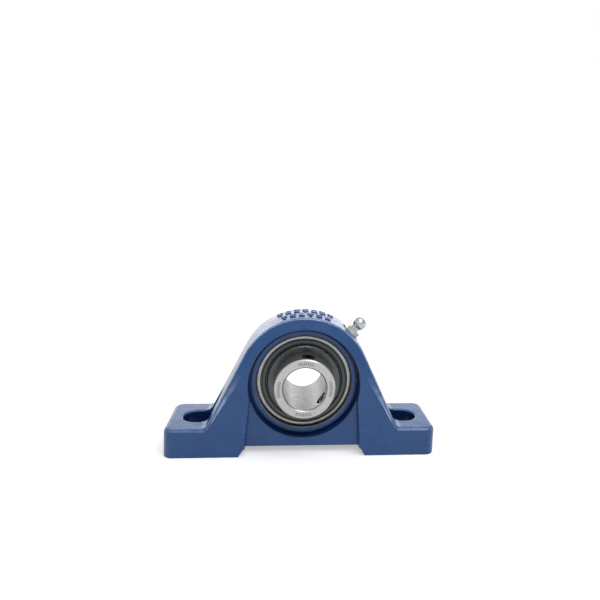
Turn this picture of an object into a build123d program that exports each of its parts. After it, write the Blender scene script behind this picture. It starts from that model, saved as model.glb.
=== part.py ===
from build123d import *
from math import acos, atan2, cos, pi, radians, sin, sqrt, tan
import os

# Pillow block bearing: a cast iron housing that holds a self-aligning ball bearing insert.
# Millimetres, +Z up. The feet rest on z = 0 and the shaft axis runs along Y at shaft_height.
# y = 0 is the middle plane of the housing and of the ball track. The set screws are on the -Y side.

# ---- Housing: driving sizes -------------------------------------------------------------------
shaft_height = 33.3
overall_height = 65.0
base_length = 127.0
base_depth = 32.0
foot_height = 13.0
foot_corner_radius = 4.5
foot_edge_radius = 1.8
slot_end_distance = 16.0    # from the end of the foot to the middle of its slot
slot_length = 19.0
slot_width = 13.0
slot_edge_radius = 0.8
pad_gap = 59.0              # free length between the two foot pads
relief_height = 3.5
relief_corner_radius = 1.2
relief_slope = 2.0          # how far the pad ends lean in over the relief

# ---- Housing: arch over the bearing ------------------------------------------------------------
arch_edge_drop = 0.3        # casting draft: the arch is lower at its front and rear edges
leg_root_inset = 2.2        # from the middle of the slot to where the line of the leg meets the foot
leg_edge_drop = 0.6         # the same draft where the leg meets the foot
edge_round = 1.0            # the edges of the arch and the legs are rounded off
leg_root_radius = 4.0
lean_start_height = 10.0    # the front and rear faces lean back above this height
lean_angle = 4.4
bevel_depth = 1.0
bevel_width = 4.5
bevel_root_height = 11.2
bevel_root_radius = 6.0

# ---- Housing: bearing seat and panels ----------------------------------------------------------
cover_recess_radius = 25.7
cover_recess_draft = 2.0
rim_half_width = 8.8        # the seat rims stand this far from the middle plane
rim_outer_radius = 24.8
rim_inner_radius = 22.9
cover_groove_depth = 1.4
panel_half_thickness = 12.2
panel_half_width = 27.4
panel_taper = 2.4           # the panel gets narrower towards the bearing by this much
panel_draft = 10.0
grease_groove_centre = -3.1
grease_groove_width = 4.2
grease_groove_depth = 0.7
loading_clearance = 0.3

# ---- Bearing insert ----------------------------------------------------------------------------
bore_diameter = 20.0
insert_width = 31.0
long_side = 18.3            # from the ball track to the set screw end of the inner ring
sphere_diameter = 47.0
outer_ring_width = 14.0
inner_ring_diameter = 28.2
outer_shoulder_radius = 19.3
ball_diameter = 7.938
pitch_diameter = 33.5
ball_count = 8
race_conformity = 0.52      # race groove radius as a share of the ball diameter
ring_chamfer = 0.5
outer_ring_chamfer = 0.3
lubrication_hole_radius = 0.6
lubrication_hole_plane = -3.85

# ---- Seals and flingers, measured from the middle plane -----------------------------------------
seal_seat_radius = 20.4
seal_seat_start = 4.95
snap_groove_depth = 0.3
sheet_thickness = 0.5
shell_plane = 5.5
shell_inner_radius = 15.9
bead_outer_radius = 20.0
bead_inner_radius = 18.1
bead_rise = 0.6
bead_flank = 0.3
lip_thickness = 0.9
lip_root_radius = 15.1
lip_lean = 0.25
flinger_radius = 17.4
flinger_thickness = 0.6
flinger_outer_plane = 8.3
flinger_hub_length = 1.4
flinger_rim_depth = 1.2
flinger_rim_width = 0.45

# ---- Cage ----------------------------------------------------------------------------------------
cage_inner_radius = 15.2
cage_outer_radius = 18.3
cage_open_side = 2.0
cage_closed_side = 4.9

# ---- Set screws ----------------------------------------------------------------------------------
screw_diameter = 6.0
screw_length = 4.0
screw_tip_gap = 0.2         # from the shaft surface to the backed-out screw tip
screw_from_face = 4.5
screw_first_angle = 84.0
screw_pitch_angle = -120.0
screw_socket_flats = 3.0
screw_socket_depth = 2.2
screw_cup_radius = 1.4
screw_tip_chamfer = 0.8

# ---- Grease nipple, distances along its axis from the shaft axis ----------------------------------
nipple_angle = 45.0
nipple_seat = 30.2
nipple_thread_diameter = 6.0
nipple_thread_length = 4.9
nipple_hex_flats = 7.0
nipple_hex_height = 3.7
nipple_neck_radius = 2.25
nipple_neck_length = 1.3
nipple_head_radius = 3.25
nipple_head_height = 5.3
nipple_head_flank = 1.3
nipple_top_radius = 1.3
nipple_top_hole_radius = 0.7
nipple_bore_radius = 1.3
nipple_tail_hole_radius = 0.5
nipple_tail_wall = 1.2
nipple_top_wall = 1.6
nipple_hex_chamfer = 0.35
spotface_radius = 5.2
grease_hole_radius = 1.5
check_ball_radius = 1.0
spring_wire_radius = 0.15
spring_mean_radius = 0.7
spring_turns = 6

# ---- Clearances ------------------------------------------------------------------------------------
seat_clearance = 0.06       # housing seat to the spherical outer ring
race_clearance = 0.02       # ball to the bottom of its race groove
pocket_clearance = 0.1      # ball to its cage pocket
lip_clearance = 0.05        # rubber lip to the inner ring
press_gap = 0.01            # flinger hub and shell rim to what they are pressed onto
thread_clearance = 0.05
contact_gap = 0.03          # check ball to its seat and to its spring
pick_margin = 0.01          # how near an edge must be to the place it is picked by

# ---- Places worked out from the sizes ----------------------------------------------------------------
half_depth = base_depth / 2
arch_radius = overall_height - shaft_height
ball_radius = ball_diameter / 2
pitch_radius = pitch_diameter / 2
inner_ring_radius = inner_ring_diameter / 2
bore_radius = bore_diameter / 2
sphere_radius = sphere_diameter / 2
seat_radius = sphere_radius + seat_clearance
race_radius = race_conformity * ball_diameter
half_ring = outer_ring_width / 2
screw_plane = screw_from_face - long_side

shaft_axis = Axis((0, 0, shaft_height), (0, 1, 0))
# On this plane local x is the radius and local y runs along the shaft.
profile_plane = Plane(origin=(0, 0, shaft_height), x_dir=(1, 0, 0), z_dir=(0, 0, 1))
lean_up = (0, sin(radians(lean_angle)), cos(radians(lean_angle)))
# The leaning front face, with local y running up the slope.
front_face = Plane(
    origin=(0, -half_depth, lean_start_height), x_dir=(1, 0, 0), z_dir=(0, -lean_up[2], lean_up[1])
)
# Outlines round the edge of the arch, each as its depth behind the leaning face and its inset.
rounded_edge = [
    (bevel_depth + edge_round * (1 - sin(turn)), edge_round * (1 - cos(turn)))
    for turn in (0, pi / 6, pi / 3, pi / 2)
]


def radial_plane(angle, distance, along_shaft=0.0):
    """Plane square to a radius of the shaft axis, angle in degrees from +X towards +Z."""
    direction = (cos(radians(angle)), 0, sin(radians(angle)))
    origin = (distance * direction[0], along_shaft, shaft_height + distance * direction[2])
    return Plane(origin=origin, x_dir=(0, 1, 0), z_dir=direction)


def up_the_slope(plane, height):
    """Local y on a leaning plane of the point at this height above the base."""
    return (height - plane.origin.Z) / plane.y_dir.Z


def arch_outline(radius, centre_height, root_height, root_x, root_radius, bottom):
    """Closed outline of the arch and its legs, flared into the foot, as lines on the XY plane."""
    to_centre = centre_height - root_height
    distance = sqrt(root_x**2 + to_centre**2)
    # Direction of the leg line, measured from the horizontal.
    slope = atan2(to_centre, root_x) + pi / 2 - acos(radius / distance)
    leg = Vector(-cos(slope), sin(slope))
    tangent_length = sqrt(distance**2 - radius**2)
    flare = root_radius * tan(slope / 2)
    root = Vector(root_x, root_height)
    shoulder = root + leg * tangent_length
    with BuildLine() as outline:
        ThreePointArc((-shoulder.X, shoulder.Y), (0, centre_height + radius), (shoulder.X, shoulder.Y))
        for side in (1, -1):
            knee = root + leg * flare
            toe = root + Vector(flare, 0)
            Line((side * shoulder.X, shoulder.Y), (side * knee.X, knee.Y))
            TangentArc((side * toe.X, toe.Y), (side * knee.X, knee.Y), tangent=(-side, 0))
            Line((side * toe.X, toe.Y), (side * toe.X, bottom))
        Line((root.X + flare, bottom), (-root.X - flare, bottom))
    return outline.line


# ==== Housing =========================================================================================
arch_edge_radius = arch_radius - arch_edge_drop
slot_centre = base_length / 2 - slot_end_distance
leg_root_x = slot_centre - leg_root_inset
edge_root_x = leg_root_x - leg_edge_drop
recess_growth = tan(radians(cover_recess_draft)) * (half_depth - rim_half_width)
seat_edge = sqrt(seat_radius**2 - (rim_half_width - ring_chamfer) ** 2)

with BuildSketch(Plane.XY) as slot_outline:
    with Locations((slot_centre, 0), (-slot_centre, 0)):
        SlotOverall(slot_length, slot_width)

# Feet: one rounded plate with its mounting slots, the upper edges eased all round.
with BuildPart() as base_plate:
    with BuildSketch(Plane.XY):
        RectangleRounded(base_length, base_depth, foot_corner_radius)
    extrude(amount=foot_height)
    fillet(base_plate.faces().sort_by(Axis.Z)[-1].edges(), radius=foot_edge_radius)
    extrude(slot_outline.sketch, amount=foot_height, mode=Mode.SUBTRACT)
    slot_rims = base_plate.faces().sort_by(Axis.Z)[-1].inner_wires()
    fillet(slot_rims.edges(), radius=slot_edge_radius)

with BuildPart() as housing:
    # Arch: lofted from the middle plane round its edge and over the bevel to the leaning face.
    with BuildSketch(Plane.XZ):
        add(
            arch_outline(
                arch_radius, shaft_height, foot_height, leg_root_x, leg_root_radius, lean_start_height
            )
        )
        make_face()
    for depth, inset in rounded_edge:
        edge_plane = front_face.offset(-depth)
        with BuildSketch(edge_plane):
            add(
                arch_outline(
                    arch_edge_radius - inset,
                    up_the_slope(edge_plane, shaft_height),
                    up_the_slope(edge_plane, foot_height),
                    edge_root_x - inset,
                    leg_root_radius,
                    up_the_slope(edge_plane, lean_start_height),
                )
            )
            make_face()
    with BuildSketch(front_face):
        add(
            arch_outline(
                arch_edge_radius - bevel_width,
                up_the_slope(front_face, shaft_height),
                up_the_slope(front_face, bevel_root_height),
                edge_root_x,
                bevel_root_radius,
                0,
            )
        )
        make_face()
    loft(ruled=True)
    mirror(about=Plane.XZ)
    add(base_plate.part)

    # Bearing seat, seat rims, end cover grooves and end cover recesses, turned in one cut.
    with BuildSketch(profile_plane):
        with BuildLine():
            ThreePointArc(
                (seat_edge, -rim_half_width + ring_chamfer),
                (seat_radius, 0),
                (seat_edge, rim_half_width - ring_chamfer),
            )
            for side in (1, -1):
                Polyline(
                    (seat_edge, side * (rim_half_width - ring_chamfer)),
                    (rim_inner_radius, side * rim_half_width),
                    (rim_outer_radius, side * rim_half_width),
                    (rim_outer_radius, side * (rim_half_width - cover_groove_depth)),
                    (cover_recess_radius, side * (rim_half_width - cover_groove_depth)),
                    (cover_recess_radius, side * rim_half_width),
                    (cover_recess_radius + recess_growth, side * half_depth),
                    (0, side * half_depth),
                )
            Line((0, -half_depth), (0, half_depth))
        make_face()
    revolve(axis=shaft_axis, mode=Mode.SUBTRACT)

    # Grease groove in the seat, and the two loading notches that let the insert in from the rear.
    with BuildSketch(profile_plane):
        with Locations((seat_radius, grease_groove_centre)):
            Rectangle(2 * grease_groove_depth, grease_groove_width)
    revolve(axis=shaft_axis, mode=Mode.SUBTRACT)
    with BuildSketch(Plane.XZ):
        with Locations((0, shaft_height)):
            Rectangle(2 * seat_radius, outer_ring_width + 2 * loading_clearance)
    extrude(amount=-rim_half_width, mode=Mode.SUBTRACT)

    # Sunken panels between the legs, front and rear.
    for side in (1, -1):
        with BuildSketch(Plane.XZ.offset(side * half_depth)):
            with BuildLine():
                Polyline(
                    (-panel_half_width, -relief_height),
                    (panel_half_width, -relief_height),
                    (panel_half_width - panel_taper, shaft_height),
                    (panel_taper - panel_half_width, shaft_height),
                    close=True,
                )
            make_face()
        extrude(amount=-side * (half_depth - panel_half_thickness), taper=panel_draft, mode=Mode.SUBTRACT)

    # Relief under the middle of the base, which leaves two foot pads.
    with BuildSketch(Plane.XZ) as relief:
        with BuildLine():
            Polyline(
                (-pad_gap / 2, 0),
                (pad_gap / 2, 0),
                (pad_gap / 2 - relief_slope, relief_height),
                (relief_slope - pad_gap / 2, relief_height),
                close=True,
            )
        make_face()
        fillet(relief.vertices().group_by(Axis.Y)[-1], radius=relief_corner_radius)
    extrude(amount=half_depth, both=True, mode=Mode.SUBTRACT)

    # The slots go on up through the root of the legs for the bolt heads.
    extrude(slot_outline.sketch, amount=overall_height, mode=Mode.SUBTRACT)

    # Spot face, threaded hole and grease channel for the nipple.
    with BuildSketch(radial_plane(nipple_angle, nipple_seat)):
        Circle(spotface_radius)
    extrude(amount=arch_radius, mode=Mode.SUBTRACT)
    with BuildSketch(radial_plane(nipple_angle, nipple_seat)):
        Circle(nipple_thread_diameter / 2)
    extrude(amount=-nipple_thread_length - thread_clearance, mode=Mode.SUBTRACT)
    with BuildSketch(radial_plane(nipple_angle, nipple_seat)):
        Circle(grease_hole_radius)
    extrude(amount=seat_radius - grease_groove_depth - nipple_seat, mode=Mode.SUBTRACT)

housing.part.label = "housing"

# ==== Outer ring ========================================================================================
with BuildPart() as outer_ring:
    with BuildSketch(profile_plane) as outer_profile:
        Circle(sphere_radius)
        with Locations((outer_shoulder_radius, 0)):
            Rectangle(sphere_radius, outer_ring_width, align=(Align.MIN, Align.CENTER), mode=Mode.INTERSECT)
        with Locations((pitch_radius + ball_radius + race_clearance - race_radius, 0)):
            Circle(race_radius, mode=Mode.SUBTRACT)
        for side in (1, -1):
            with Locations((outer_shoulder_radius, side * (seal_seat_start + half_ring) / 2)):
                Rectangle(
                    2 * (seal_seat_radius - outer_shoulder_radius),
                    half_ring - seal_seat_start,
                    mode=Mode.SUBTRACT,
                )
            with Locations((seal_seat_radius, side * (shell_plane + sheet_thickness / 2))):
                Rectangle(2 * snap_groove_depth, sheet_thickness + 2 * press_gap, mode=Mode.SUBTRACT)
        outer_corners = outer_profile.vertices().filter_by(lambda v: abs(v.Y) > half_ring - pick_margin)
        chamfer(outer_corners, outer_ring_chamfer)
    revolve(axis=shaft_axis)
    # Two opposite lubrication holes through the shoulder on the set screw side.
    with BuildSketch(Plane.XY.offset(shaft_height)):
        with Locations((0, lubrication_hole_plane)):
            Circle(lubrication_hole_radius)
    extrude(amount=sphere_diameter, both=True, mode=Mode.SUBTRACT)
outer_ring.part.label = "outer_ring"

# ==== Inner ring ========================================================================================
with BuildPart() as inner_ring:
    with BuildSketch(profile_plane) as inner_profile:
        with Locations((bore_radius, -long_side)):
            Rectangle(inner_ring_radius - bore_radius, insert_width, align=(Align.MIN, Align.MIN))
        chamfer(inner_profile.vertices(), ring_chamfer)
        with Locations((pitch_radius - ball_radius - race_clearance + race_radius, 0)):
            Circle(race_radius, mode=Mode.SUBTRACT)
    revolve(axis=shaft_axis)
    for turn in range(2):
        with BuildSketch(radial_plane(screw_first_angle + turn * screw_pitch_angle, 0, screw_plane)):
            Circle(screw_diameter / 2)
        extrude(amount=inner_ring_diameter, mode=Mode.SUBTRACT)
inner_ring.part.label = "inner_ring"

# ==== Set screws ========================================================================================
set_screws = []
for turn in range(2):
    tip_distance = bore_radius + screw_tip_gap
    screw_angle = screw_first_angle + turn * screw_pitch_angle
    screw_radius = screw_diameter / 2 - thread_clearance
    with BuildPart() as set_screw:
        with BuildSketch(radial_plane(screw_angle, tip_distance, screw_plane)):
            Circle(screw_radius)
        extrude(amount=screw_length)
        tip_edge = set_screw.edges().filter_by(GeomType.CIRCLE).sort_by_distance(shaft_axis.position)[0]
        chamfer(tip_edge, screw_tip_chamfer)
        with Locations(radial_plane(screw_angle, tip_distance, screw_plane)):
            Cone(
                screw_cup_radius,
                0,
                screw_cup_radius,
                align=(Align.CENTER, Align.CENTER, Align.MIN),
                mode=Mode.SUBTRACT,
            )
        with BuildSketch(radial_plane(screw_angle, tip_distance + screw_length, screw_plane)):
            RegularPolygon(screw_socket_flats / 2, 6, major_radius=False)
        extrude(amount=-screw_socket_depth, mode=Mode.SUBTRACT)
    set_screw.part.label = f"set_screw_{turn + 1}"
    set_screws.append(set_screw.part)

# ==== Balls and cage ======================================================================================
balls = []
for place in range(ball_count):
    ball_angle = radians(360 * place / ball_count)
    with BuildPart() as ball:
        with Locations((pitch_radius * cos(ball_angle), 0, shaft_height + pitch_radius * sin(ball_angle))):
            Sphere(ball_radius)
    ball.part.label = f"ball_{place + 1}"
    balls.append(ball.part)

with BuildPart() as cage:
    # Crown cage: a solid rim at the rear, with prongs that reach round the balls to the front.
    with BuildSketch(profile_plane):
        with Locations((cage_inner_radius, -cage_open_side)):
            Rectangle(
                cage_outer_radius - cage_inner_radius,
                cage_open_side + cage_closed_side,
                align=(Align.MIN, Align.MIN),
            )
    revolve(axis=shaft_axis)
    with Locations(Plane.XZ * Location((0, shaft_height, 0))):
        with PolarLocations(pitch_radius, ball_count):
            Sphere(ball_radius + pocket_clearance, mode=Mode.SUBTRACT)
cage.part.label = "cage"

# ==== Seals and flingers ====================================================================================
seal_parts = []
for side_name, side in (("front", -1), ("rear", 1)):
    shell_face = shell_plane + sheet_thickness
    rim_radius = seal_seat_radius + snap_groove_depth - press_gap
    with BuildPart() as seal_shell:
        with BuildSketch(profile_plane):
            with BuildLine():
                Polyline(
                    (rim_radius, side * shell_plane),
                    (bead_outer_radius - bead_flank, side * shell_plane),
                    (bead_outer_radius - 2 * bead_flank, side * (shell_plane + bead_rise)),
                    (bead_inner_radius + 2 * bead_flank, side * (shell_plane + bead_rise)),
                    (bead_inner_radius + bead_flank, side * shell_plane),
                    (shell_inner_radius, side * shell_plane),
                    (shell_inner_radius, side * shell_face),
                    (bead_inner_radius, side * shell_face),
                    (bead_inner_radius + bead_flank, side * (shell_face + bead_rise)),
                    (bead_outer_radius - bead_flank, side * (shell_face + bead_rise)),
                    (bead_outer_radius, side * shell_face),
                    (rim_radius, side * shell_face),
                    close=True,
                )
            make_face()
        revolve(axis=shaft_axis)
    seal_shell.part.label = f"{side_name}_seal_shell"

    # Rubber lip, bonded to the inner edge of the shell and running on the inner ring.
    lip_start = shell_plane + (sheet_thickness - lip_thickness) / 2
    lip_radius = inner_ring_radius + lip_clearance
    with BuildPart() as seal_lip:
        with BuildSketch(profile_plane):
            with BuildLine():
                Polyline(
                    (shell_inner_radius, side * lip_start),
                    (shell_inner_radius, side * (lip_start + lip_thickness)),
                    (lip_root_radius, side * (lip_start + lip_thickness)),
                    (lip_radius, side * (lip_start + lip_thickness + lip_lean)),
                    (lip_radius, side * (lip_start + lip_thickness)),
                    (lip_root_radius, side * lip_start),
                    close=True,
                )
            make_face()
        revolve(axis=shaft_axis)
    seal_lip.part.label = f"{side_name}_seal_lip"

    # Flinger: pressed onto the inner ring outside the seal, its rim turned back towards the shell.
    flinger_inner_plane = flinger_outer_plane - flinger_thickness
    hub_radius = inner_ring_radius + press_gap
    with BuildPart() as flinger:
        with BuildSketch(profile_plane) as flinger_profile:
            with BuildLine():
                Polyline(
                    (hub_radius, side * flinger_outer_plane),
                    (flinger_radius, side * flinger_outer_plane),
                    (flinger_radius, side * (flinger_outer_plane - flinger_rim_depth)),
                    (flinger_radius - flinger_rim_width, side * (flinger_outer_plane - flinger_rim_depth)),
                    (flinger_radius - flinger_rim_width, side * flinger_inner_plane),
                    (hub_radius + flinger_thickness, side * flinger_inner_plane),
                    (hub_radius + flinger_thickness, side * (flinger_outer_plane - flinger_hub_length)),
                    (hub_radius, side * (flinger_outer_plane - flinger_hub_length)),
                    close=True,
                )
            make_face()
            outer_corner = flinger_profile.vertices().sort_by(Axis.X).group_by(Axis.X)[-1]
            chamfer(outer_corner.sort_by(lambda v: abs(v.Y))[-1], flinger_rim_width)
        revolve(axis=shaft_axis)
    flinger.part.label = f"{side_name}_flinger"
    seal_parts += [seal_shell.part, seal_lip.part, flinger.part]

# ==== Grease nipple ===========================================================================================
# Heights here run along the nipple axis from its seat on the housing.
neck_top = nipple_hex_height + nipple_neck_length
head_top = neck_top + nipple_head_height
cavity_bottom = nipple_tail_wall - nipple_thread_length
cavity_top = head_top - nipple_top_wall
shoulder_height = neck_top + 2 * nipple_head_flank
nipple_plane = radial_plane(nipple_angle, nipple_seat)
nipple_axis = Axis(nipple_plane.origin, nipple_plane.z_dir)
# Local x is the radius from the nipple axis and local y runs outwards along it.
nipple_section = Plane(origin=nipple_plane.origin, x_dir=(0, 1, 0), z_dir=nipple_plane.y_dir * -1)

with BuildPart() as nipple_body:
    # Hexagon with its corners eased at both ends.
    with BuildSketch(nipple_plane):
        RegularPolygon(nipple_hex_flats / 2, 6, major_radius=False)
    extrude(amount=nipple_hex_height)
    with BuildSketch(nipple_section) as hex_blank:
        Rectangle(nipple_hex_flats / sqrt(3), nipple_hex_height, align=(Align.MIN, Align.MIN))
        chamfer(hex_blank.vertices().group_by(Axis.X)[-1], nipple_hex_chamfer)
    revolve(axis=nipple_axis, mode=Mode.INTERSECT)
    # Threaded tail, neck and head.
    with BuildSketch(nipple_section):
        with BuildLine():
            Polyline(
                (0, -nipple_thread_length),
                (nipple_thread_diameter / 2 - thread_clearance, -nipple_thread_length),
                (nipple_thread_diameter / 2 - thread_clearance, 0),
                (nipple_neck_radius, 0),
                (nipple_neck_radius, neck_top),
                (nipple_head_radius, neck_top + nipple_head_flank),
                (nipple_head_radius, shoulder_height),
            )
            TangentArc((nipple_head_radius, shoulder_height), (nipple_top_radius, head_top), tangent=(0, 1))
            Polyline((nipple_top_radius, head_top), (0, head_top), (0, -nipple_thread_length))
        make_face()
    revolve(axis=nipple_axis)
    # Bore for the spring and the check ball.
    with BuildSketch(nipple_section):
        with BuildLine():
            Polyline(
                (0, -nipple_thread_length),
                (nipple_tail_hole_radius, -nipple_thread_length),
                (nipple_tail_hole_radius, cavity_bottom),
                (nipple_bore_radius, cavity_bottom),
                (nipple_bore_radius, cavity_top),
                (nipple_top_hole_radius, cavity_top),
                (nipple_top_hole_radius, head_top),
                (0, head_top),
                close=True,
            )
        make_face()
    revolve(axis=nipple_axis, mode=Mode.SUBTRACT)
nipple_body.part.label = "grease_nipple_body"

check_ball_height = cavity_top - sqrt(check_ball_radius**2 - nipple_top_hole_radius**2) - contact_gap
with BuildPart() as check_ball:
    with Locations(nipple_plane.offset(check_ball_height)):
        Sphere(check_ball_radius)
check_ball.part.label = "nipple_check_ball"

wire_reach = check_ball_radius + spring_wire_radius + contact_gap
spring_top = check_ball_height - sqrt(wire_reach**2 - spring_mean_radius**2)
spring_bottom = cavity_bottom + spring_wire_radius + press_gap
spring_height = spring_top - spring_bottom
with BuildLine() as coil:
    Helix(
        pitch=spring_height / spring_turns,
        height=spring_height,
        radius=spring_mean_radius,
        center=nipple_plane.offset(spring_bottom).origin,
        direction=nipple_plane.z_dir,
    )
with BuildPart() as spring:
    with BuildSketch(Plane(coil.line @ 0, z_dir=coil.line % 0)):
        Circle(spring_wire_radius)
    sweep(path=coil.line)
spring.part.label = "nipple_spring"

# ==== Export ====================================================================================================
os.makedirs("parts", exist_ok=True)
pieces = [housing.part, outer_ring.part, inner_ring.part, cage.part]
pieces += [nipple_body.part, check_ball.part, spring.part]
pieces += set_screws + balls + seal_parts
for piece in pieces:
    export_step(piece, f"parts/{piece.label}.step")
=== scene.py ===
import bpy
import bmesh
import math
from mathutils import Matrix, Vector


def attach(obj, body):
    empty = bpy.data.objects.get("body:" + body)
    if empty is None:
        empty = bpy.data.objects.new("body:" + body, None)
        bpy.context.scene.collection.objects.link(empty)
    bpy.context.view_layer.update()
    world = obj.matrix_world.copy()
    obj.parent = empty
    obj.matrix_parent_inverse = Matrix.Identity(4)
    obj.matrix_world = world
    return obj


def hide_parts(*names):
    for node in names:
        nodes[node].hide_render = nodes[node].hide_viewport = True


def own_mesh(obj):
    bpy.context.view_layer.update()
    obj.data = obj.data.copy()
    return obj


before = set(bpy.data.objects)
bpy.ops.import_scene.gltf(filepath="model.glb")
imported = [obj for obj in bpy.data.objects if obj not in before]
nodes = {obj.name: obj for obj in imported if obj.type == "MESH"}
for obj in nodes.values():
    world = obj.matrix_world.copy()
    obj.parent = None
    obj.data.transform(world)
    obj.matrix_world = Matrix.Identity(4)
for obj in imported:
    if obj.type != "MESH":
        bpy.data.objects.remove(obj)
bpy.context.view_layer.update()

MM = 0.001
SHAFT_Z = 33.3 * MM  # shaft axis above the base; it runs along Y

# Housing
SEAT_RADIUS = 24.2 * MM  # just outside the sphere that the seat was turned to
RECESS_INNER, RECESS_OUTER = 24.75 * MM, 26.2 * MM  # end cover recess and its groove
CROWN_RADIUS = 31.7 * MM  # arch, measured from the shaft axis
CROWN_DROP = 0.3 / 10.8  # the arch falls this much per length towards its edges
SLOT_X = 47.5 * MM  # slot centre
SLOT_HALF_LENGTH, SLOT_HALF_WIDTH = 9.7 * MM, 6.6 * MM  # with a little to spare
# Painted shade on the slot walls fades out between these two heights.
SLOT_SHADE_TOP, FOOT_RIM = 11.6 * MM, 12.6 * MM  # the rim is where the foot's edge rounds over
FOOT_EDGE_TOP = 16.0 * MM  # the legs rise clear of the feet here

# Bearing insert, radii from the shaft axis
BORE_RADIUS = 10.3 * MM
TICK_INNER, TICK_OUTER = 11.3 * MM, 12.8 * MM
RING_FACE_Y = -18.2 * MM
COLLAR_RADIUS = 13.95 * MM
FLINGER_RIM = 17.25 * MM
SEAL_RUBBER_RADIUS = 18.2 * MM

# Camera, solved from the photograph, in its pixels
PHOTO_SIDE = 600
FOCAL_LENGTH = 504.184
CENTRE_SHIFT = (-42.218, -42.55)
CAMERA_PLACE = (-0.011917, -0.239179, 0.120268)
CAMERA_PITCH, CAMERA_YAW, CAMERA_ROLL = 6.64, 6.782, 2.549
SENSOR_MM = 36.0

WHITE = (1, 1, 1, 1)


# ---- Node helpers --------------------------------------------------------------------------------
def wire_in(tree, socket, value):
    """Links a socket to another one, or sets its value."""
    if hasattr(value, "links"):
        tree.links.new(value, socket)
    else:
        socket.default_value = value


def new_node(tree, kind, inputs=None, **settings):
    node = tree.nodes.new("ShaderNode" + kind)
    for key, value in settings.items():
        setattr(node, key, value)
    for key, value in (inputs or {}).items():
        wire_in(tree, node.inputs[key], value)
    return node


def background_rays(tree):
    """1 for the rays that see the white background: camera, transmission and glossy ones."""
    rays = new_node(tree, "LightPath").outputs
    clear = {0: rays["Is Camera Ray"], 1: rays["Is Transmission Ray"]}
    clear = new_node(tree, "Math", clear, operation="MAXIMUM").outputs[0]
    seen = {0: clear, 1: rays["Is Glossy Ray"]}
    return new_node(tree, "Math", seen, operation="MAXIMUM").outputs[0]


class Graph:
    """A material's node tree, with short calls for the nodes used here."""

    def __init__(self, name):
        self.mat = bpy.data.materials.new(name)
        self.mat.use_nodes = True
        self.tree = self.mat.node_tree
        self.shader = self.tree.nodes["Principled BSDF"]

    def set(self, target, value):
        """Sets or links one socket of the shader."""
        wire_in(self.tree, self.shader.inputs[target], value)

    def add(self, kind, inputs=None, **settings):
        return new_node(self.tree, kind, inputs, **settings)

    def math(self, operation, a, b=0.0):
        return self.add("Math", {0: a, 1: b}, operation=operation).outputs[0]

    def below(self, value, limit):
        return self.math("LESS_THAN", value, limit)

    def above(self, value, limit):
        return self.math("GREATER_THAN", value, limit)

    def product(self, first, *others):
        for other in others:
            first = self.math("MULTIPLY", first, other)
        return first

    def distance(self, value, centre=0.0):
        """How far a value is from a centre, either way."""
        return self.math("ABSOLUTE", self.math("SUBTRACT", value, centre))

    def place(self):
        return self.add("TexCoord").outputs["Object"]

    def axes(self, vector):
        return self.add("SeparateXYZ", {0: vector}).outputs

    def noise(self, vector, scale, detail=2.0, rough=0.5):
        values = {"Vector": vector, "Scale": scale, "Detail": detail, "Roughness": rough}
        return self.add("TexNoise", values).outputs["Fac"]

    def between(self, value, low, high, to_low=0.0, to_high=1.0):
        return self.add("MapRange", {0: value, 1: low, 2: high, 3: to_low, 4: to_high}).outputs[0]

    def blend(self, factor, a, b):
        """From colour a at 0 to colour b at 1."""
        node = self.add("Mix", {0: factor}, data_type="RGBA")
        for index, colour in ((6, a), (7, b)):
            wire_in(self.tree, node.inputs[index], (*colour, 1.0) if type(colour) is tuple else colour)
        return node.outputs[2]

    def bump(self, height, distance, strength=1.0, normal=None):
        values = {"Height": height, "Distance": distance, "Strength": strength}
        if normal is not None:
            values["Normal"] = normal
        return self.add("Bump", values).outputs["Normal"]

    def rounded(self, radius, samples=4):
        return self.add("Bevel", {"Radius": radius}, samples=samples).outputs[0]

    def polar(self):
        """Radius from the shaft axis, angle round it and place along it, as three sockets."""
        across, along, height = self.axes(self.place())
        up = self.math("SUBTRACT", height, SHAFT_Z)
        square = self.math("ADD", self.math("POWER", across, 2.0), self.math("POWER", up, 2.0))
        return self.math("SQRT", square), self.math("ARCTAN2", up, across), along


# ---- Finishes, with painted highlights and shade -------------------------------------------------
def painted_edge_highlight(g, place):
    """Painted highlight: a lighter blue on rounded edges that face up and along the shaft, where the
    lamps would catch them, weaker on the feet and broken up by noise.
    """
    facing = g.axes(g.add("NewGeometry").outputs["Normal"])
    tilt = g.distance(g.math("ABSOLUTE", facing[1]), 0.6)
    edge = g.between(tilt, 0.22, 0.33, 1.0, 0.0)
    upward = g.between(facing[2], 0.1, 0.3)
    height = g.between(g.axes(place)[2], FOOT_RIM, FOOT_EDGE_TOP, 0.25, 1.0)
    highlight_breakup = g.between(g.noise(place, 240.0, 3.0, 0.65), 0.36, 0.58, 0.35, 1.0)
    return g.product(edge, upward, height, highlight_breakup)


def slot_painted_shade(g, place):
    """Painted shade: the slot walls are darkened, fading out towards the foot's rim."""
    x, y, z = g.axes(place)
    inside = g.below(g.distance(g.math("ABSOLUTE", x), SLOT_X), SLOT_HALF_LENGTH)
    across = g.below(g.math("ABSOLUTE", y), SLOT_HALF_WIDTH)
    return g.product(across, inside, g.between(z, SLOT_SHADE_TOP, FOOT_RIM, 0.8, 0.0))


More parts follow.
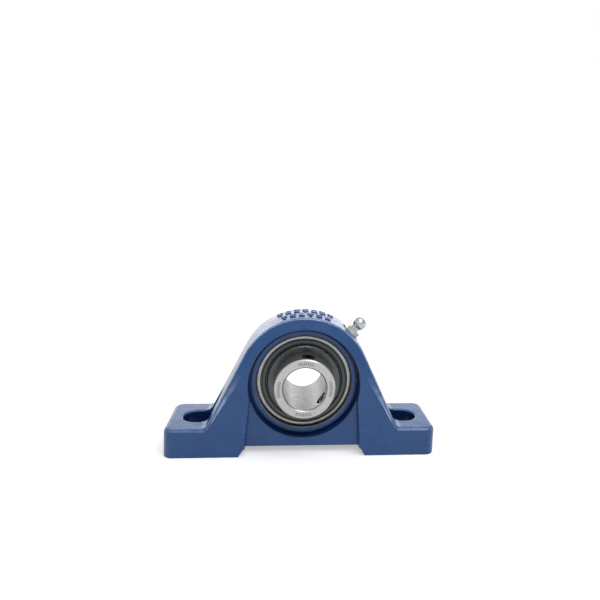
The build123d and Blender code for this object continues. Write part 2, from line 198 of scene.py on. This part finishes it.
def paint():
    """Semi-gloss blue enamel over a sand cast surface; the turned bearing seat stays bare iron.
    Painted highlights on the rounded edges and painted shade in the slots and the end cover recess.
    """
    g = Graph("housing_enamel")
    place = g.place()
    normal = g.bump(g.noise(place, 170.0, 3.0), 0.3 * MM, 0.35, g.rounded(0.7 * MM, samples=6))
    normal = g.bump(g.noise(place, 900.0, 2.0), 0.06 * MM, 0.5, normal)
    normal = g.bump(g.noise(place, 3200.0, 2.0, 0.6), 0.012 * MM, 0.5, normal)
    g.set("Normal", normal)

    mottle = g.between(g.noise(place, 60.0, 4.0, 0.6), 0.35, 0.65)
    body = g.blend(mottle, (0.003, 0.054, 0.2), (0.0055, 0.071, 0.24))
    speck = g.between(g.noise(place, 1600.0, 1.0), 0.68, 0.74, 0.0, 0.35)
    body = g.blend(speck, body, (0.02, 0.09, 0.26))
    # Painted highlight on the rounded edges, in a lighter blue.
    body = g.blend(painted_edge_highlight(g, place), body, (0.27, 0.37, 0.56))
    # Painted shade on the slot walls, in a near black navy.
    body = g.blend(slot_painted_shade(g, place), body, (0.0015, 0.006, 0.05))
    # Painted shade: a darker navy in the end cover recess and its groove.
    radius = g.polar()[0]
    recess_painted_shade = g.product(g.above(radius, RECESS_INNER), 0.75, g.below(radius, RECESS_OUTER))
    body = g.blend(recess_painted_shade, body, (0.001, 0.01, 0.08))

    centre = {0: place, 1: (0.0, 0.0, SHAFT_Z)}
    away = g.add("VectorMath", centre, operation="DISTANCE").outputs["Value"]
    bare = g.below(away, SEAT_RADIUS)
    iron = g.blend(g.noise(place, 2200.0, 2.0, 0.6), (0.05, 0.047, 0.045), (0.12, 0.115, 0.11))
    g.set("Base Color", g.blend(bare, body, iron))
    g.set("Metallic", g.product(bare, 0.6))
    g.set("Roughness", g.between(g.noise(place, 260.0, 3.0), 0.3, 0.7, 0.2, 0.3))
    return g.mat


def tick_mask(g, radius, angle, along):
    """Etched ticks in four groups on the set screw face of the inner ring."""
    line = g.below(g.math("FRACT", g.product(angle, 90.0 / math.tau)), 0.42)
    group = g.math("FRACT", g.math("ADD", g.product(angle, 4.0 / math.tau), 0.5))
    group = g.below(g.distance(group, 0.5), 0.2)
    band = g.product(g.above(radius, TICK_INNER), g.below(radius, TICK_OUTER))
    return g.product(line, group, band, g.below(along, RING_FACE_Y), 0.8)


def turned_steel(name, light, dark, rough, lines, rim=False, ring=False):
    """Steel with fine turned or ground lines that run round the shaft.

    rim paints a highlight on the flinger's edge as a lighter band. ring adds the inner ring's bore and
    collar, both darkened as painted shade, and its ticks.
    """
    g = Graph(name)
    g.set("Metallic", 1.0)
    radius, angle, along = g.polar()
    slow = g.add("CombineXYZ", {0: radius, 1: g.product(angle, 0.0009), 2: along}).outputs[0]
    cut = g.noise(slow, lines, 3.0, 0.65)
    smear = g.noise(g.place(), 420.0, 3.0, 0.6)
    tone = g.blend(g.between(cut, 0.3, 0.7), dark, light)
    tone = g.blend(g.between(smear, 0.45, 0.75, 0.0, 0.25), tone, dark)
    roughness = g.between(smear, 0.3, 0.7, *rough)
    if rim:
        # Painted highlight: a lighter band round the flinger's rim.
        edge = g.between(radius, FLINGER_RIM - 0.35 * MM, FLINGER_RIM)
        tone = g.blend(edge, tone, (0.42, 0.43, 0.435))
    if ring:
        # Painted shade: the bore is darker than the ring's faces.
        bore_painted_shade = g.blend(cut, (0.13, 0.13, 0.13), (0.21, 0.21, 0.21))
        tone = g.blend(g.below(radius, BORE_RADIUS), tone, bore_painted_shade)
        # Painted shade: the collar's outside is darkened halfway to near black; it is also rougher.
        collar = g.above(radius, COLLAR_RADIUS)
        tone = g.blend(g.product(collar, 0.5), tone, (0.06, 0.06, 0.06))
        tone = g.blend(tick_mask(g, radius, angle, along), tone, (0.05, 0.05, 0.052))
        roughness = g.math("ADD", roughness, g.product(collar, 0.2))
    g.set("Base Color", tone)
    g.set("Roughness", roughness)
    g.set("Normal", g.bump(cut, 0.006 * MM, 0.6, g.rounded(0.08 * MM)))
    return g.mat


def plain_metal(name, light, dark, rough, scale=700.0, edge=0.2):
    """Plated, blackened or drawn metal with a fine uneven tone."""
    g = Graph(name)
    g.set("Metallic", 1.0)
    place = g.place()
    tone = g.noise(place, scale, 4.0, 0.6)
    g.set("Base Color", g.blend(g.between(tone, 0.35, 0.65), dark, light))
    g.set("Roughness", g.between(g.noise(place, scale * 2.3, 2.0), 0.3, 0.7, *rough))
    g.set("Normal", g.bump(tone, 0.004 * MM, 0.3, g.rounded(edge * MM)))
    return g.mat


def sealed_shell():
    """Dark phosphated sheet with the black seal rubber bonded over its inner half."""
    g = Graph("shell_steel")
    radius = g.polar()[0]
    tone = g.noise(g.place(), 700.0, 3.0, 0.6)
    sheet = g.blend(tone, (0.055, 0.06, 0.063), (0.085, 0.092, 0.097))
    rubbered = g.below(radius, SEAL_RUBBER_RADIUS)
    g.set("Base Color", g.blend(rubbered, sheet, (0.008, 0.008, 0.008)))
    g.set("Metallic", g.math("SUBTRACT", 0.7, g.product(rubbered, 0.7)))
    g.set("Roughness", g.between(tone, 0.3, 0.7, 0.32, 0.46))
    g.set("Normal", g.bump(tone, 0.01 * MM, 0.4))
    return g.mat


def moulded(name, light, dark, rough):
    """Moulded plastic or rubber."""
    g = Graph(name)
    tone = g.noise(g.place(), 1100.0, 3.0, 0.6)
    g.set("Base Color", g.blend(tone, dark, light))
    g.set("Roughness", g.between(tone, 0.3, 0.7, rough - 0.06, rough + 0.06))
    g.set("Normal", g.bump(tone, 0.02 * MM, 0.5))
    return g.mat


enamel = paint()
ring_steel = turned_steel(
    "ground_steel", (0.5, 0.5, 0.495), (0.38, 0.38, 0.375), (0.26, 0.38), 5200.0, ring=True
)
race_steel = turned_steel(
    "ring_steel", (0.4, 0.395, 0.39), (0.22, 0.216, 0.212), (0.24, 0.36), 3800.0
)
flinger_steel = turned_steel(
    "flinger_steel", (0.1, 0.108, 0.112), (0.068, 0.074, 0.077), (0.24, 0.34), 2600.0, rim=True
)
shell_steel = sealed_shell()
zinc = plain_metal("zinc_plate", (0.5, 0.52, 0.54), (0.33, 0.35, 0.37), (0.12, 0.2), 260.0, 0.1)
black_oxide = plain_metal("black_oxide", (0.05, 0.05, 0.052), (0.02, 0.02, 0.022), (0.3, 0.45))
wire = plain_metal("spring_wire", (0.5, 0.5, 0.5), (0.35, 0.35, 0.35), (0.25, 0.35), edge=0.05)
polished = plain_metal("ball_polish", (0.78, 0.78, 0.79), (0.72, 0.72, 0.73), (0.05, 0.1), 300.0)
rubber = moulded("nitrile", (0.02, 0.02, 0.02), (0.01, 0.01, 0.01), 0.6)
polyamide = moulded("polyamide", (0.72, 0.68, 0.56), (0.62, 0.58, 0.47), 0.5)

finishes = {
    "housing": enamel,
    "outer_ring": race_steel,
    "inner_ring": ring_steel,
    "cage": polyamide,
    "grease_nipple_body": zinc,
    "nipple_check_ball": polished,
    "nipple_spring": wire,
    "set_screw_1": black_oxide,
    "set_screw_2": black_oxide,
}
for side in ("front", "rear"):
    finishes[side + "_seal_shell"] = shell_steel
    finishes[side + "_seal_lip"] = rubber
    finishes[side + "_flinger"] = flinger_steel
for number in range(1, 9):
    finishes[f"ball_{number}"] = polished
for name, node in nodes.items():
    node.data.materials.clear()
    node.data.materials.append(finishes[name])


# ---- Pieces of the scene's own -------------------------------------------------------------------
def link_object(name, data):
    item = bpy.data.objects.new(name, data)
    bpy.context.scene.collection.objects.link(item)
    return item


def crown_marks():
    """Two rows of generic raised bars, cast on the crown of the arch."""
    mesh = bmesh.new()
    # Place along the shaft, groups, half spread in degrees, and each group's bars, in millimetres
    rows = ((3.4, 7, 23.0, (-2.3, 0.0, 2.3)), (-4.3, 6, 19.0, (-1.6, 1.0)))
    thickness, long_bar, short_bar = 1.0, 2.9, 1.7
    for depth, count, spread, bars in rows:
        for group in range(count):
            angle = math.radians(90.0 + spread * (1.0 - 2.0 * group / (count - 1)))
            out = Vector((math.cos(angle), 0, math.sin(angle)))
            turn = Matrix.Rotation(math.pi / 2 - angle, 4, "Y")
            for bar, shift in enumerate(bars):
                along = (depth + shift) * MM
                reach = CROWN_RADIUS - CROWN_DROP * abs(along)
                place = Matrix.Translation(Vector((0, along, SHAFT_Z)) + reach * out)
                length = long_bar if (group + bar) % 3 else short_bar
                size = (length * MM, thickness * MM, thickness * MM, 1.0)
                bmesh.ops.create_cube(mesh, size=1.0, matrix=place @ turn @ Matrix.Diagonal(size))
    data = bpy.data.meshes.new("crown_marks")
    mesh.to_mesh(data)
    mesh.free()
    data.materials.append(enamel)
    for face in data.polygons:
        face.use_smooth = True
    piece = link_object("crown_marks", data)
    bevel = piece.modifiers.new("round", "BEVEL")
    bevel.width = 0.22 * MM
    bevel.segments = 3
    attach(piece, "housing")


def working_spring():
    """A copy of the spring inside the grease nipple, carried by the housing in place of the model's
    own, which is hidden.
    """
    piece = link_object("working_spring", nodes["nipple_spring"].data.copy())
    outwards = Vector((1.0, 0.0, 1.0)).normalized()
    reach = sorted(vertex.co.dot(outwards) for vertex in piece.data.vertices)
    seat = Vector((0, 0, SHAFT_Z))
    seat += outwards * (reach[0] - seat.dot(outwards))
    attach(piece, "housing")
    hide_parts("nipple_spring")
    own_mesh(piece)


# ---- Floor, light and camera ---------------------------------------------------------------------
def stage_floor():
    """Pale matt floor, which ends close in front of the object and reaches far behind it."""
    side, front = 6.0, -0.28
    corners = [(-side, front, 0), (side, front, 0), (side, side, 0), (-side, side, 0)]
    data = bpy.data.meshes.new("floor")
    data.from_pydata(corners, [], [(0, 1, 2, 3)])
    g = Graph("floor_paper")
    g.set("Base Color", (0.74, 0.74, 0.74, 1))
    g.set("Roughness", 0.9)
    g.set("Specular IOR Level", 0.0)
    # Far from the object the paper is plain white; near it, it keeps the shadow.
    away = g.add("VectorMath", {0: g.place()}, operation="LENGTH").outputs["Value"]
    glow = g.between(away, 0.12, 0.5, 0.42, 1.0)
    g.set("Emission Color", WHITE)
    g.set("Emission Strength", g.product(background_rays(g.tree), glow))
    data.materials.append(g.mat)
    link_object("floor", data)


def world_light():
    """White to the rays that see the background; as light, a soft studio, dim in front."""
    world = bpy.data.worlds.new("studio")
    bpy.context.scene.world = world
    world.use_nodes = True
    tree = world.node_tree
    tree.nodes.clear()
    split = new_node(tree, "SeparateXYZ", {0: new_node(tree, "TexCoord").outputs["Generated"]})
    height = new_node(tree, "Math", {0: split.outputs[2], 1: 0.6}, operation="MULTIPLY")
    lean = {0: split.outputs[1], 1: height.outputs[0]}
    lean = new_node(tree, "Math", lean, operation="ADD").outputs[0]
    level = {0: lean, 1: -0.7, 2: 0.7, 3: 0.3, 4: 0.6}
    level = new_node(tree, "MapRange", level, interpolation_type="SMOOTHSTEP").outputs[0]
    soft = new_node(tree, "Background", {"Color": WHITE, "Strength": level}).outputs[0]
    white = new_node(tree, "Background", {"Color": WHITE, "Strength": 1.0}).outputs[0]
    mix = new_node(tree, "MixShader", {0: background_rays(tree), 1: soft, 2: white})
    new_node(tree, "OutputWorld", {"Surface": mix.outputs[0]})


def area_lamp(name, place, size, watts):
    """A soft box that the camera doesn't see, aimed at the object."""
    data = bpy.data.lights.new(name, "AREA")
    data.shape = "RECTANGLE"
    data.size, data.size_y = size
    data.energy = watts
    lamp = link_object(name, data)
    lamp.location = place
    aim = Vector((0, 0, 0.03)) - Vector(place)
    lamp.rotation_euler = aim.to_track_quat("-Z", "Y").to_euler()
    lamp.visible_camera = False


def photo_camera():
    """The photograph's camera. The shift is the crop's distance from the lens's own middle."""
    data = bpy.data.cameras.new("camera")
    data.sensor_width = SENSOR_MM
    data.lens = FOCAL_LENGTH / PHOTO_SIDE * SENSOR_MM
    data.shift_x, data.shift_y = (shift / PHOTO_SIDE for shift in CENTRE_SHIFT)
    data.clip_start = 0.005
    data.clip_end = 50.0
    camera = link_object("camera", data)
    pitch, yaw, roll = (math.radians(a) for a in (CAMERA_PITCH, CAMERA_YAW, CAMERA_ROLL))
    level = math.cos(pitch)
    ahead = Vector((math.sin(yaw) * level, math.cos(yaw) * level, -math.sin(pitch)))
    right = Vector((math.cos(yaw), -math.sin(yaw), 0.0))
    up = right.cross(ahead)
    right, up = (
        right * math.cos(roll) + up * math.sin(roll),
        up * math.cos(roll) - right * math.sin(roll),
    )
    turn = Matrix((right, up, -ahead)).transposed().to_4x4()
    camera.matrix_world = Matrix.Translation(CAMERA_PLACE) @ turn
    bpy.context.scene.camera = camera


crown_marks()
working_spring()
stage_floor()
world_light()
area_lamp("back_box", (-0.1, 0.9, 0.24), (1.6, 0.36), 2.75)
area_lamp("top_box", (0.22, -0.1, 0.82), (0.3, 0.5), 1.9)
area_lamp("front_box", (0.2, -0.7, 0.95), (0.8, 0.6), 4.6)
photo_camera()
bpy.context.scene.view_settings.view_transform = "Standard"
